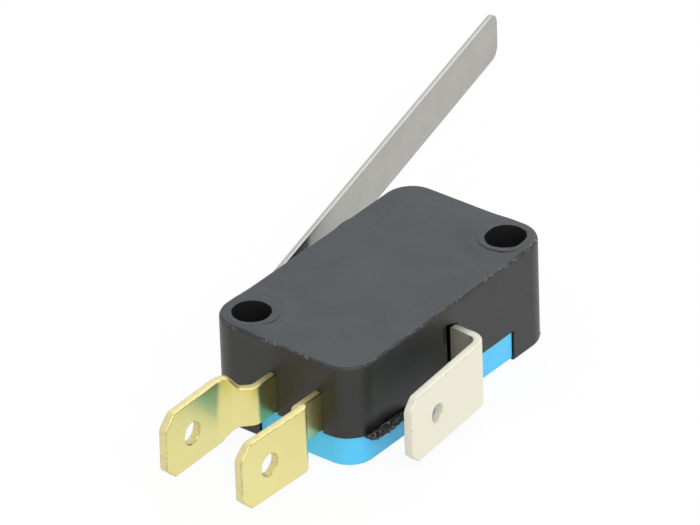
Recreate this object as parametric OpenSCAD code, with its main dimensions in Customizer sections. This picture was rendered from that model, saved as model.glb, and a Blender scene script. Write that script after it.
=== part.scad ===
// Lever micro switch of the V3 size: snap-acting changeover contact, long straight lever, 6.35 mm tabs.
// It lies on its cover face. The origin is on the axis of the mounting hole beside the lever hinge,
// at the rest face; +X runs along the body away from the end terminals, +Y points to the lever side.

/* [Body] */
// Pitch of the two mounting holes along the body
pitch_x = 22.2; // [21:0.1:26]
// Pitch of the two mounting holes across the body
pitch_y = 10.3; // [10:0.1:12]
// Distance from a hole axis to the two nearest edges
hole_inset = 2.8; // [2.7:0.1:3.4]
// Thickness of the closed switch over the hole pads
body_h = 10.3; // [10:0.1:12]
// Diameter of the mounting holes
hole_d = 3.2; // [2.8:0.1:3.4]
// Extra length of the slotted hole
slot_extra = 0.36; // [0.1:0.02:0.6]
// Chamfer at the mouth of each mounting hole
hole_mouth = 0.12; // [0.05:0.01:0.2]
// Radius of the raised pad round each hole
pad_r = 2.3; // [2.2:0.1:2.7]
// Height of the raised pads
pad_step = 0.15; // [0.05:0.05:0.3]
// Radius of the two corners that have no hole
corner_r = 2.7; // [1:0.1:3.5]
// Rounding of the outer edges
edge_r = 0.3; // [0.1:0.05:0.5]
// Thickness of the side walls
wall = 1.4; // [1:0.1:1.8]
// Thickness of the end wall that holds the tabs
end_wall = 2.4; // [1.6:0.1:2.8]
// Thickness of the roof
roof = 1.3; // [0.8:0.1:1.8]
// Reach of the corner legs past the hole axes
leg_reach = 2.7; // [2.4:0.1:3]
// Radius of the solid post round each mounting hole
post_r = 3; // [2.8:0.1:3.2]

/* [Cover] */
// Thickness of the cover plate
cover_t = 1.3; // [0.8:0.1:1.8]
// Setback of the cover walls from the case walls
cover_inset = 0.2; // [0.1:0.05:0.4]
// Gap between the cover and the corner legs
leg_gap = 0.08; // [0.05:0.01:0.2]
// Wall of the cover round the corner legs
leg_wall = 1; // [0.6:0.1:1.4]

/* [Lever] */
// Width of the lever strip
lever_w = 4.6; // [4.1:0.1:5]
// Width of the lever root in its slot
root_w = 4.1; // [3.6:0.1:4.3]
// Thickness of the lever strip
lever_t = 0.5; // [0.4:0.05:0.6]
// Length from the hinge axis to the tip
lever_len = 54; // [30:0.1:60]
// Height of the outer face above the hinge axis
lever_rise = 2.15; // [2.1:0.01:2.5]
// Angle of the free lever to the body
lever_open = 14.17; // [13.5:0.01:16]
// Angle that the lever travels
lever_swing = 13; // [10:0.5:13]
// Rounding of the lever tip corners
tip_r = 1.2; // [0.3:0.1:1.5]
// Hinge axis past the mounting hole along the body
hinge_x = 4.2; // [4:0.1:4.8]
// Hinge axis below the lever side of the case
hinge_depth = 1; // [0.9:0.05:1.3]
// Radius of the moulded hinge bar
bar_r = 0.6; // [0.5:0.05:0.65]
// Running clearance between the hook and the bar
bar_fit = 0.05; // [0.03:0.01:0.1]
// Clearance round the lever root in its slot
slot_gap = 0.2; // [0.15:0.05:0.3]

/* [Plunger] */
// Plunger axis past the mounting hole along the body
plunger_x = 11.4; // [11:0.1:12]
// Radius of the plunger stem
plunger_r = 1.2; // [1:0.05:1.3]
// Radius of the domed plunger head
dome_r = 1.6; // [1.4:0.1:2]
// Radius of the retaining flange
flange_r = 2; // [1.7:0.1:2.2]
// Thickness of the retaining flange
flange_t = 0.8; // [0.5:0.1:1]
// Radius of the rounded foot
foot_r = 1; // [0.8:0.05:1.1]
// Length of the plunger guide
guide_l = 3; // [2.4:0.1:3.2]
// Radius of the block round the plunger guide
guide_r = 2.6; // [2.4:0.1:2.6]
// Running clearance of the plunger in its guide
plunger_fit = 0.05; // [0.03:0.01:0.1]
// Gap between parts that bear on each other
touch_gap = 0.06; // [0.05:0.01:0.08]

/* [Terminals] */
// Thickness of the terminal metal
metal_t = 0.8; // [0.7:0.05:0.85]
// Width of the strips inside the case
strip_w = 3.8; // [3.4:0.1:4]
// Width of the push-on tabs
tab_w = 6.35; // [6:0.05:6.5]
// Rise of the mechanism's centre plane above mid height
mech_rise = 0.1; // [0:0.05:0.2]
// Middle of the upper end strip below the hole axis
nc_drop = 4.36; // [4.2:0.02:4.5]
// Middle of the lower end strip below the hole axis
no_drop = 9.3; // [9.2:0.05:9.6]
// Offset of the tabs from their strips
jog = 1.7; // [1.2:0.1:1.9]
// Distance from the end wall to the start of the jog
jog_start = 2.5; // [2:0.1:3]
// Length of the jog along the body
jog_len = 1.5; // [1.2:0.1:2]
// Distance from the end wall to the tab tips
tab_reach = 12.6; // [11.5:0.1:14]
// Chamfer at the tab tips
tab_chamfer = 1.2; // [0.6:0.1:1.6]
// Outward set of the upper tab
nc_splay = -1.5; // [-2:0.5:2]
// Inward set of the lower tab
no_splay = 2; // [0:0.5:5]
// Start of the upper tab's full width before the end of its jog
nc_shoulder = 0.8; // [0:0.1:1]
// Start of the lower tab's full width before the end of its jog
no_shoulder = 0.7; // [0:0.1:1]
// Diameter of the holes in the end tabs
tab_hole_d = 2.1; // [1.6:0.1:2.4]
// Distance from a tab tip to its hole
tab_hole_in = 3.6; // [3:0.1:4]
// Middle of the common strip past the hole axis
com_x = 11.05; // [10.8:0.05:11.3]
// Stand-off of the common tab from the case
com_stand = 2.75; // [2:0.05:3.5]
// Length of the common tab past its bend
com_len = 11.9; // [11:0.1:13]
// Outward set of the common tab
com_splay = 5.2; // [0:0.1:7]
// Chamfer at the common tab's tip
com_chamfer = 1; // [0.6:0.1:1.4]
// Drop of the common tab's middle below the centre plane
com_drop = 0.48; // [0.3:0.02:0.6]
// Diameter of the hole in the common tab
com_hole_d = 1.7; // [1.4:0.1:2]
// Distance from the common tab's tip to its hole
com_hole_in = 3.9; // [3:0.1:4.4]
// Inner radius of the terminal bends
bend_r = 0.4; // [0.2:0.05:0.6]
// Clearance of a strip in its slot
strip_gap = 0.1; // [0.05:0.01:0.12]

/* [Contacts] */
// Contact axis past the hole axis
contact_x = 2.5; // [2.3:0.1:2.6]
// Radius of the contact heads
contact_r = 1.3; // [1:0.05:1.35]
// Height of the fixed contact heads
contact_h = 0.6; // [0.5:0.05:0.7]
// Height of each head of the moving contact
moving_h = 0.7; // [0.6:0.05:0.75]
// Radius of the dome on the moving contact
contact_dome = 3; // [2.5:0.1:4]
// Radius of the contact shanks
shank_r = 0.6; // [0.4:0.05:0.7]
// Thickness of the moving blade
blade_t = 0.3; // [0.2:0.02:0.35]
// Width of the moving blade
blade_w = 3.6; // [3.5:0.1:3.7]
// Width of the fork opening in the blade
fork_w = 1.9; // [1.8:0.05:2]
// Upright of the common bracket past the contact axis
upright_x = 16.6; // [16.5:0.05:16.8]
// Depth of the blade ends in their groove
blade_bite = 0.1; // [0.06:0.01:0.12]

/* [Snap action] */
// Thickness of the rocker
rocker_t = 0.4; // [0.3:0.02:0.45]
// Width of the rocker tongue
rocker_w = 1.4; // [1.2:0.05:1.5]
// Distance from the rocker pivot to its spring hook
rocker_l = 8.3; // [8.2:0.05:8.4]
// Wire radius of the snap spring
wire_r = 0.11; // [0.08:0.01:0.12]
// Mean radius of the spring coils and hooks
coil_r = 0.5; // [0.45:0.01:0.55]
// Turns of the snap spring
coil_turns = 11; // [6:1:12]
// Radius of the holes that take the spring hooks
hook_hole_r = 0.4; // [0.35:0.01:0.42]
// Wall between a hook hole and its edge
hook_wall = 0.25; // [0.2:0.01:0.3]

/* [Hidden] */
$fn = 48;
over = 1;                                   // how far a cutting solid runs past what it cuts
lap = 0.01;                                 // overlap that joins a straight stretch to a bend
reach = 40;                                 // size of shapes that only trim
block_wall = 1.2;                           // wall of the case beside the lever slot
block_floor = 1;                            // wall of the case under the lever slot
bend_room = 0.3;                            // extra room in the lever slot for the bend
bar_root = 0.5;                             // how far the hinge bar runs into the case
com_relief = 0.5;                           // room round the common strip at the outside of the wall
hook_sweep = 200;                           // angle of the hook round the bar
tab_root_r = 1;                             // rounding where an end tab widens
com_root_r = 1.3;                           // rounding where the common tab widens
com_margin = 0.5;                           // start of the common tab's outline before its bend
strip_past = 0.3;                           // strip beyond a contact head
shank_fit = 0.02;                           // clearance of a contact shank in its hole
rivet_h = 0.25;                             // upset end of a fixed contact
rivet_r = 0.9;
blade_corner = 0.8;                         // rounding of the blade's contact end
blade_past = 0.2;                           // blade beyond the moving contact
cross_l = 0.5;                              // rocker cross piece behind the upright
cross_w = 2.8;
pivot_gap = 0.1;                            // rocker pivot behind the upright
pivot_lip = 0.2;                            // rocker tongue past its pivot
upright_past = 1.8;                         // upright above the blade
spring_ease = 0.06;                         // spring shorter than its longest hook spacing
hook_start = 60;                            // open angle of a spring hook
hook_step = 24;
hook_lean = 0.6;                            // shape of the wire between hook and coil
wire_sides = 6;

hole_r = hole_d / 2;
x_lo = -hole_inset;                         // terminal end of the body
x_hi = pitch_x + hole_inset;                // far end
y_hi = hole_inset;                          // lever side
y_lo = -pitch_y - hole_inset;               // common side
top_z = body_h - pad_step;
roof_z = body_h - roof;
mech_z = body_h / 2 + mech_rise;            // centre plane of lever, strips and blade
strip_z = mech_z - strip_w / 2;             // lower edge of the strips
part_z = strip_z - 2.5 * strip_gap;         // plane where case and cover meet
HOLES = [[0, 0], [pitch_x, -pitch_y]];
// corner x, corner y, inward x, inward y, radius
CORNERS = [[x_lo, y_hi, 1, -1, hole_inset], [x_hi, y_lo, -1, 1, hole_inset],
           [x_lo, y_lo, 1, 1, corner_r], [x_hi, y_hi, -1, -1, corner_r]];

hinge_y = y_hi - hinge_depth;
hook_in = bar_r + bar_fit;                  // inner radius of the lever hook
hook_out = hook_in + lever_t;
lever_under = lever_rise - lever_t;         // inner face above the hinge axis
lever_end = lever_open - lever_swing;       // angle of the lever at full travel

// Height of the plunger dome's centre with the lever at an angle
function dome_y(a) = hinge_y + (lever_under - dome_r - touch_gap + (plunger_x - hinge_x) * sin(a)) / cos(a);
plunger_travel = dome_y(lever_open) - dome_y(lever_end);
flange_y = y_hi - guide_l - touch_gap;      // upper face of the flange

nc_y = -nc_drop;
no_y = -no_drop;
nc_face = nc_y - metal_t / 2 - contact_h;   // working face of the upper fixed contact
no_face = no_y + metal_t / 2 + contact_h;
blade_y = nc_face - touch_gap - moving_h - blade_t / 2;
blade_end = upright_x + blade_bite;         // pivot edge of the blade
contact_travel = nc_face - no_face - 2 * touch_gap - 2 * moving_h - blade_t;
blade_swing = asin(contact_travel / (blade_end - contact_x));

upright_back = upright_x + metal_t;
rocker_x = upright_back + pivot_gap;              // rocker pivot, just behind the upright
rocker_half = atan(plunger_travel / 2 / (rocker_x - plunger_x));
hook_x = contact_x + contact_r + strip_past + hook_hole_r + coil_r;   // middle of the blade's spring hook
end_hook_x = rocker_x - rocker_l * cos(rocker_half);
// The rocker pivot sits so that the spring crosses the blade half way
rocker_y = blade_y - (blade_end - end_hook_x) * tan(blade_swing) / 2;
spring_rise = rocker_y + rocker_l * sin(rocker_half) - blade_y;
spring_angle = atan(spring_rise / (end_hook_x - hook_x));
// Hook spacing midway between the longest and the shortest over the travel
spring_l = norm([end_hook_x - hook_x, spring_rise]) - spring_ease;
foot_rise = rocker_t / 2 + foot_r + touch_gap + sin(rocker_half) * (rocker_x - plunger_x);
foot_y = rocker_y + foot_rise / cos(rocker_half);
run_y = y_lo + wall + touch_gap + metal_t / 2;    // middle of the bracket's run along the wall
upright_top = blade_y + upright_past;
rocker_gap = 0.55;                          // half the height of the window for the rocker
groove = 0.25;                              // half the side of the groove for the blade ends
com_z = mech_z - com_drop;                  // middle of the common tab
com_top = com_z + tab_w / 2;
coil_steps = 12;                            // points on each turn of the spring

// ---------- shared shapes ----------

module corner_cut(c) {
    r = c[4];
    centre = [c[0] + c[2] * r, c[1] + c[3] * r];
    difference() {
        translate([centre[0] - (c[2] > 0 ? r + over : 0), centre[1] - (c[3] > 0 ? r + over : 0)])
            square(r + over);
        translate(centre) circle(r);
    }
}

module body_outline() {
    difference() {
        translate([x_lo, y_lo]) square([x_hi - x_lo, y_hi - y_lo]);
        for (c = CORNERS) corner_cut(c);
    }
}

// Outline of the cover: the body's, set back
module cover_outline() {
    difference() {
        translate([x_lo + cover_inset, y_lo + cover_inset])
            square([x_hi - x_lo - 2 * cover_inset, y_hi - y_lo - 2 * cover_inset]);
        for (c = CORNERS)
            translate(cover_inset * [c[2], c[3]]) corner_cut([c[0], c[1], c[2], c[3], c[4] - cover_inset]);
    }
}

// The two corner legs, grown by a margin
module leg_squares(grow) {
    translate([x_lo - over, -leg_reach - grow])
        square([hole_inset + leg_reach + grow + over, hole_inset + leg_reach + grow + over]);
    translate([pitch_x - leg_reach - grow, y_lo - over])
        square([hole_inset + leg_reach + grow + over, hole_inset + leg_reach + grow + over]);
}

// Section of the material that a rounded edge loses; the corner is at the origin, outward +x +y
module edge_section(r) {
    difference() {
        translate([-r, -r]) square(r + over);
        translate([-r, -r]) circle(r);
    }
}

// What rounding the upper rim of the outline at height z takes off; inset sets the outline back
module rim_cut(z, inset, r) {
    x0 = x_lo + inset;
    x1 = x_hi - inset;
    y0 = y_lo + inset;
    y1 = y_hi - inset;
    // start of the run, direction it faces, its length
    for (s = [[[x1, y1, z], 0, y1 - y0], [[x0, y1, z], 90, x1 - x0],
              [[x0, y0, z], 180, y1 - y0], [[x1, y0, z], 270, x1 - x0]])
        translate(s[0]) rotate([0, 0, s[1]]) rotate([90, 0, 0]) linear_extrude(s[2]) edge_section(r);
    for (c = CORNERS)
        translate([c[0] + c[2] * c[4], c[1] + c[3] * c[4], z])
            rotate([0, 0, c[2] < 0 ? (c[3] < 0 ? 0 : 270) : (c[3] < 0 ? 90 : 180)])
                rotate_extrude(angle = 90) translate([c[4] - inset, 0]) edge_section(r);
}

// Hole with a chamfered mouth at height z
module mouth(z) {
    translate([0, 0, z - hole_mouth]) cylinder(h = hole_mouth * 2, r1 = hole_r, r2 = hole_r + 2 * hole_mouth);
}

module mounting_holes() {
    translate([0, 0, -over]) cylinder(h = body_h + 2 * over, r = hole_r);
    mouth(body_h);
    for (s = [-1, 1])
        translate([pitch_x + s * slot_extra / 2, -pitch_y, 0]) {
            translate([0, 0, -over]) cylinder(h = body_h + 2 * over, r = hole_r);
            mouth(body_h);
        }
}

function unit(v) = v / norm(v);
function heading(v) = atan2(v[1], v[0]);
function wrapped(a) = a > 180 ? a - 360 : a < -180 ? a + 360 : a;
function turn(p, i) = wrapped(heading(p[i + 1] - p[i]) - heading(p[i] - p[i - 1]));
function trim(p, i, r) = i == 0 || i == len(p) - 1 ? 0 : r * tan(abs(turn(p, i)) / 2);

// Ring sector round the origin from angle a0, sweeping by w (under 180 degrees)
module ring_sector(r_in, r_out, a0, w) {
    far = 4 * r_out;
    intersection() {
        difference() {
            circle(r_out);
            circle(r_in);
        }
        polygon([[0, 0], for (f = [0, 0.5, 1]) far * [cos(a0 + f * w), sin(a0 + f * w)]]);
    }
}

// Side view of a bent strip of thickness t along the points p, with mean bend radius r
module bent_strip(p, t, r) {
    for (i = [0 : len(p) - 2]) {
        d = unit(p[i + 1] - p[i]);
        a = p[i] + d * trim(p, i, r);
        b = p[i + 1] - d * trim(p, i + 1, r);
        translate(a) rotate(heading(d)) translate([-lap, -t / 2]) square([norm(b - a) + 2 * lap, t]);
    }
    for (i = [1 : len(p) - 2]) {
        w = turn(p, i);
        h = heading(p[i] - p[i - 1]);
        side = w > 0 ? 90 : -90;
        centre = p[i] - unit(p[i] - p[i - 1]) * trim(p, i, r) + r * [cos(h + side), sin(h + side)];
        translate(centre) ring_sector(r - t / 2, r + t / 2, h - side, w);
    }
}

// Push-on tab seen from its broad side: root at x = 0, tip towards -X, middle at y = 0, chamfer c
module tab_outline(length, root_r, c) {
    h = tab_w / 2;
    tip = c - length;
    polygon([[-root_r, -h], [-root_r, h], [tip, h], [-length, h - c], [-length, c - h], [tip, -h]]);
    translate([-root_r - over / 2, -h + root_r]) square([root_r + over / 2, tab_w - 2 * root_r]);
    for (s = [-1, 1]) translate([-root_r, s * (h - root_r)]) circle(root_r);
}

// Rivet contact along +Y: head below y = 0, shank through the strip, upset end behind it
module contact(head_h, strip, back_h) {
    rotate([90, 0, 0]) cylinder(h = head_h, r = contact_r);
    rotate([-90, 0, 0]) cylinder(h = strip + back_h, r = shank_r);
    translate([0, strip, 0]) rotate([-90, 0, 0]) cylinder(h = back_h, r = rivet_r);
}

// ---------- case and cover ----------

// Plan of the hollow that holds the mechanism
module cavity_plan() {
    slot_end = hinge_x + hook_out + slot_gap + block_wall;
    block_y = hinge_y - hook_out - slot_gap - block_floor;
    polygon([[x_lo + end_wall, y_lo + wall], [pitch_x - post_r, y_lo + wall],
             [pitch_x - post_r, -pitch_y + post_r], [x_hi - wall, -pitch_y + post_r],
             [x_hi - wall, y_hi - wall], [plunger_x + guide_r, y_hi - wall],
             [plunger_x + guide_r, y_hi - guide_l], [plunger_x - guide_r, y_hi - guide_l],
             [plunger_x - guide_r, y_hi - wall], [slot_end, y_hi - wall],
             [slot_end, block_y], [post_r, block_y], [post_r, -post_r], [x_lo + end_wall, -post_r]]);
}

// Slot in the end wall for a strip in the middle at height y
module end_slot(y) {
    z1 = mech_z + strip_w / 2 + strip_gap;
    translate([x_lo - over, y - metal_t / 2 - strip_gap, part_z - over])
        cube([end_wall + 2 * over, metal_t + 2 * strip_gap, z1 - part_z + over]);
}

module lever_slot() {
    x0 = hinge_x - hook_out - slot_gap - bend_room;
    x1 = hinge_x + hook_out + slot_gap;
    y0 = hinge_y - hook_out - slot_gap;
    z1 = mech_z + root_w / 2 + slot_gap;
    translate([x0, y0, part_z - over]) cube([x1 - x0, y_hi - y0 + over, z1 - part_z + over]);
}

module case() color("#2f3134") {
    difference() {
        union() {
            difference() {
                union() {
                    translate([0, 0, part_z]) linear_extrude(top_z - part_z) body_outline();
                    linear_extrude(part_z + over) intersection() {
                        body_outline();
                        leg_squares(0);
                    }
                }
                rim_cut(top_z, 0, edge_r);
                mirror([0, 0, 1]) rim_cut(0, 0, edge_r);
            }
            for (h = HOLES) translate([h[0], h[1], top_z - edge_r])
                cylinder(h = pad_step + edge_r, r = pad_r);
        }
        mounting_holes();
        translate([0, 0, part_z - over]) linear_extrude(roof_z - part_z + over) cavity_plan();
        end_slot(nc_y);
        end_slot(no_y);
        // passage of the common strip, wide outside and close inside
        translate([com_x - metal_t / 2 - strip_gap, y_lo - over, part_z - over])
            cube([metal_t + 3 * strip_gap, wall + 2 * over, com_top + strip_gap - part_z + over]);
        translate([com_x - metal_t / 2 - com_relief, y_lo - over, part_z - over])
            cube([metal_t + com_relief + strip_gap, over + wall / 2, com_top + com_relief - part_z + over]);
        lever_slot();
        translate([plunger_x, y_hi + over, mech_z]) rotate([90, 0, 0])
            cylinder(h = guide_l + 2 * over, r = plunger_r + plunger_fit);
    }
    // bar that the lever hooks on
    translate([hinge_x, hinge_y, part_z])
        cylinder(h = mech_z - part_z + root_w / 2 + slot_gap + bar_root, r = bar_r);
}

module cover() color("#56bdf0") {
    difference() {
        translate([0, 0, pad_step]) linear_extrude(part_z - pad_step) difference() {
            cover_outline();
            leg_squares(leg_gap);
        }
        translate([0, 0, pad_step + cover_t]) linear_extrude(part_z) difference() {
            cavity_plan();
            leg_squares(leg_gap + leg_wall);
        }
        mirror([0, 0, 1]) rim_cut(-pad_step, cover_inset, edge_r);
    }
}

// ---------- lever and plunger ----------

// Side view of the lever root: bend, neck and the hook round the bar
module lever_root() {
    bend_out = 2 * lever_t;
    neck_top = lever_rise - bend_out;
    translate([bend_out - hook_out, neck_top]) ring_sector(bend_out - lever_t, bend_out, 90, 90);
    translate([-hook_out, 0]) square([lever_t, neck_top]);
    for (a = [0, hook_sweep / 2]) ring_sector(hook_in, hook_out, 180 + a, hook_sweep / 2);
}

module lever() color("#b9b6ad")
    translate([hinge_x, hinge_y, mech_z]) rotate([0, 0, lever_open]) {
        start = 2 * lever_t - hook_out;
        translate([0, 0, -root_w / 2]) linear_extrude(root_w) lever_root();
        // long flat strip with rounded tip corners
        translate([0, lever_rise, 0]) rotate([90, 0, 0]) linear_extrude(lever_t) {
            translate([start, -lever_w / 2]) square([lever_len - tip_r - start, lever_w]);
            translate([start, tip_r - lever_w / 2]) square([lever_len - start, lever_w - 2 * tip_r]);
            for (s = [-1, 1]) translate([lever_len - tip_r, s * (lever_w / 2 - tip_r)]) circle(tip_r);
        }
    }

module plunger() color("#e8e4da")
    translate([plunger_x, 0, mech_z]) rotate([-90, 0, 0]) rotate_extrude() {
        top = dome_y(lever_open);
        foot = foot_y;
        difference() {
            union() {
                translate([0, top]) intersection() {
                    circle(dome_r);
                    square([plunger_r, dome_r]);
                }
                translate([0, flange_y - flange_t]) square([plunger_r, top - flange_y + flange_t]);
                translate([0, flange_y - flange_t]) square([flange_r, flange_t]);
                translate([0, foot]) square([foot_r, flange_y - foot]);
                translate([0, foot]) intersection() {
                    circle(foot_r);
                    translate([0, -foot_r]) square(foot_r + over);
                }
            }
            translate([-dome_r, foot - over]) square([dome_r, top - foot + 2 * dome_r]);
        }
    }

// ---------- terminals ----------

// End terminal: strip in the wall, jog to one side, push-on tab with its splay
module end_terminal(y, side, splay, shoulder) {
    x_jog = x_lo - jog_start;
    x_tab = x_jog - jog_len;
    x_tip = x_lo - tab_reach;
    x_root = x_tab + shoulder;
    path = [[contact_x + contact_r + strip_past, y], [x_jog, y], [x_tab, y + side * jog],
            [x_tip, y + side * jog + (x_tab - x_tip) * tan(splay)]];
    difference() {
        union() {
            translate([0, 0, strip_z]) linear_extrude(strip_w) intersection() {
                bent_strip(path, metal_t, bend_r + metal_t / 2);
                translate([x_root - tab_root_r - over, y - reach / 2]) square(reach);
            }
            intersection() {
                translate([0, 0, mech_z - tab_w / 2]) linear_extrude(tab_w)
                    bent_strip(path, metal_t, bend_r + metal_t / 2);
                translate([x_root, y + reach / 2, mech_z]) rotate([90, 0, 0])
                    linear_extrude(reach) tab_outline(x_root - x_tip, tab_root_r, tab_chamfer);
            }
        }
        translate([x_tip + tab_hole_in, y, mech_z]) rotate([90, 0, 0])
            cylinder(h = reach, r = tab_hole_d / 2, center = true);
        translate([contact_x, y, mech_z]) rotate([90, 0, 0])
            cylinder(h = reach, r = shank_r + shank_fit, center = true);
    }
}

module nc_terminal() color("#d8cf7c") end_terminal(nc_y, 1, nc_splay, nc_shoulder);
module no_terminal() color("#d8cf7c") end_terminal(no_y, -1, no_splay, no_shoulder);

// Common terminal: upright and run inside the case, leg through the wall, tab along the case
module com_terminal() color("#dcdad2") {
    r = bend_r + metal_t / 2;
    tab_y = y_lo - com_stand - metal_t / 2;
    root = [com_x, tab_y];
    tip_x = com_x - com_len * cos(com_splay);
    start_x = com_x + metal_t / 2 + com_margin;
    path = [[upright_x + metal_t / 2, upright_top], [upright_x + metal_t / 2, run_y], [com_x, run_y],
            root, root - com_len * [cos(com_splay), sin(com_splay)]];
    difference() {
        union() {
            // inside the case
            translate([0, 0, strip_z]) linear_extrude(strip_w) intersection() {
                bent_strip(path, metal_t, r);
                translate([com_x - metal_t, y_lo - over]) square(reach);
            }
            // from the wall to the bend
            translate([0, 0, strip_z]) linear_extrude(com_top - strip_z) intersection() {
                bent_strip(path, metal_t, r);
                translate([com_x - metal_t, y_lo + wall - reach]) square([3 * metal_t, reach]);
            }
            // the tab with the bend
            intersection() {
                translate([0, 0, com_z - tab_w / 2]) linear_extrude(tab_w) bent_strip(path, metal_t, r);
                translate([start_x, tab_y + com_root_r, com_z]) rotate([90, 0, 0])
                    linear_extrude(reach) tab_outline(start_x - tip_x, com_root_r, com_chamfer);
            }
        }
        translate([tip_x + com_hole_in, tab_y, com_z]) rotate([90, 0, 0])
            cylinder(h = 4 * com_stand, r = com_hole_d / 2, center = true);
        // window for the rocker and groove for the blade ends
        translate([upright_x - over, rocker_y - rocker_gap, mech_z - fork_w / 2])
            cube([metal_t + 2 * over, 2 * rocker_gap, fork_w]);
        translate([upright_x, blade_y, strip_z - over]) linear_extrude(strip_w + 2 * over)
            rotate(45) square(2 * groove, center = true);
    }
}

// ---------- contacts and snap action ----------

module nc_contact() color("#e6e6e2")
    translate([contact_x, nc_y - metal_t / 2, mech_z]) contact(contact_h, metal_t, rivet_h);

module no_contact() color("#e6e6e2")
    translate([contact_x, no_y + metal_t / 2, mech_z]) mirror([0, 1, 0]) contact(contact_h, metal_t, rivet_h);

// Double-headed rivet with domed faces
module moving_contact() color("#e6e6e2")
    translate([contact_x, blade_y, mech_z]) rotate([-90, 0, 0]) intersection() {
        union() {
            cylinder(h = blade_t + 2 * moving_h, r = shank_r, center = true);
            for (s = [-1, 1]) translate([0, 0, s * (blade_t + moving_h) / 2])
                cylinder(h = moving_h, r = contact_r, center = true);
        }
        translate([0, 0, blade_t / 2 + moving_h - contact_dome]) sphere(contact_dome);
        translate([0, 0, contact_dome - blade_t / 2 - moving_h]) sphere(contact_dome);
    }

// Forked blade: contact end, spring hook hole, two prongs to the upright
module contact_blade() color("#c98b4e")
    translate([0, blade_y + blade_t / 2, mech_z]) rotate([90, 0, 0]) linear_extrude(blade_t) difference() {
        end_x = contact_x - contact_r - blade_past;
        fork_x = hook_x - coil_r + hook_hole_r + hook_wall;
        flat_w = blade_w - 2 * blade_corner;
        union() {
            translate([end_x + blade_corner, -blade_w / 2])
                square([blade_end - end_x - blade_corner, blade_w]);
            translate([end_x, -flat_w / 2]) square([2 * blade_corner, flat_w]);
            for (s = [-1, 1]) translate([end_x + blade_corner, s * flat_w / 2]) circle(blade_corner);
        }
        translate([fork_x, -fork_w / 2]) square([blade_end - fork_x + over, fork_w]);
        translate([hook_x - coil_r, 0]) circle(hook_hole_r);
        translate([contact_x, 0]) circle(shank_r + shank_fit);
    }

// Rocker under the plunger foot: tongue through the upright, cross piece behind it
module rocker() color("#c9c6be")
    translate([rocker_x, rocker_y, mech_z]) rotate([0, 0, -rocker_half]) translate([0, rocker_t / 2, 0])
        rotate([90, 0, 0]) linear_extrude(rocker_t) difference() {
            hole = -rocker_l + coil_r;
            end = hole - hook_hole_r - hook_wall;
            union() {
                translate([end, -rocker_w / 2]) square([pivot_lip - end, rocker_w]);
                translate([0, -cross_w / 2]) square([cross_l, cross_w]);
            }
            translate([hole, 0]) circle(hook_hole_r);
        }

// Half of the spring's centre line: hook, crossover, start of the coil
function hook_line() = [
    for (a = [hook_start : hook_step : 348]) coil_r * [cos(a), sin(a), 0],
    for (t = [0 : 0.25 : 0.75]) let (u = 1 - t, x1 = coil_r + wire_r, lean = hook_lean * coil_r)
        u * u * u * [coil_r, 0, 0] + 3 * u * u * t * [coil_r, lean, 0]
        + 3 * u * t * t * [x1, coil_r, -lean] + t * t * t * [x1, coil_r, 0]];
function coil_line() = let (x0 = coil_r + wire_r, run = spring_l - 2 * x0, n = coil_turns * coil_steps)
    [for (i = [0 : n]) let (a = 360 * i / coil_steps) [x0 + run * i / n, coil_r * cos(a), coil_r * sin(a)]];
function reversed(p) = [for (i = [len(p) - 1 : -1 : 0]) p[i]];
function spring_line() = concat(hook_line(), coil_line(),
    [for (q = reversed(hook_line())) [spring_l - q[0], q[1], -q[2]]]);

// Tangent at point i of a line
function along(p, i) = unit(p[min(i + 1, len(p) - 1)] - p[max(i - 1, 0)]);
function square_to(v, t) = unit(v - (v * t) * t);
// Normals carried along the line without twist
function normals(p) = [for (i = 0, n = square_to([0, 0, 1], along(p, 0)); i < len(p);
    i = i + 1, n = i < len(p) ? square_to(n, along(p, i)) : n) n];

module swept_wire(p, r, sides) {
    ns = normals(p);
    points = [for (i = [0 : len(p) - 1]) let (t = along(p, i), n = ns[i], b = cross(t, n))
        for (k = [0 : sides - 1]) p[i] + r * (n * cos(360 * k / sides) + b * sin(360 * k / sides))];
    last = (len(p) - 1) * sides;
    polyhedron(points, concat(
        [[for (k = [0 : sides - 1]) k]],
        [for (i = [0 : len(p) - 2], k = [0 : sides - 1]) let (m = (k + 1) % sides, a = i * sides)
            [a + k, a + sides + k, a + sides + m, a + m]],
        [[for (k = [sides - 1 : -1 : 0]) last + k]]));
}

module snap_spring() color("#9fa3a8")
    translate([hook_x, blade_y, mech_z]) rotate([0, 0, spring_angle])
        swept_wire(spring_line(), wire_r, wire_sides);

case();
cover();
lever();
plunger();
com_terminal();
nc_terminal();
no_terminal();
nc_contact();
no_contact();
moving_contact();
contact_blade();
rocker();
snap_spring();
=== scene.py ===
import math
import random

import bmesh
import bpy
from mathutils import Matrix, Vector, noise


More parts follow.
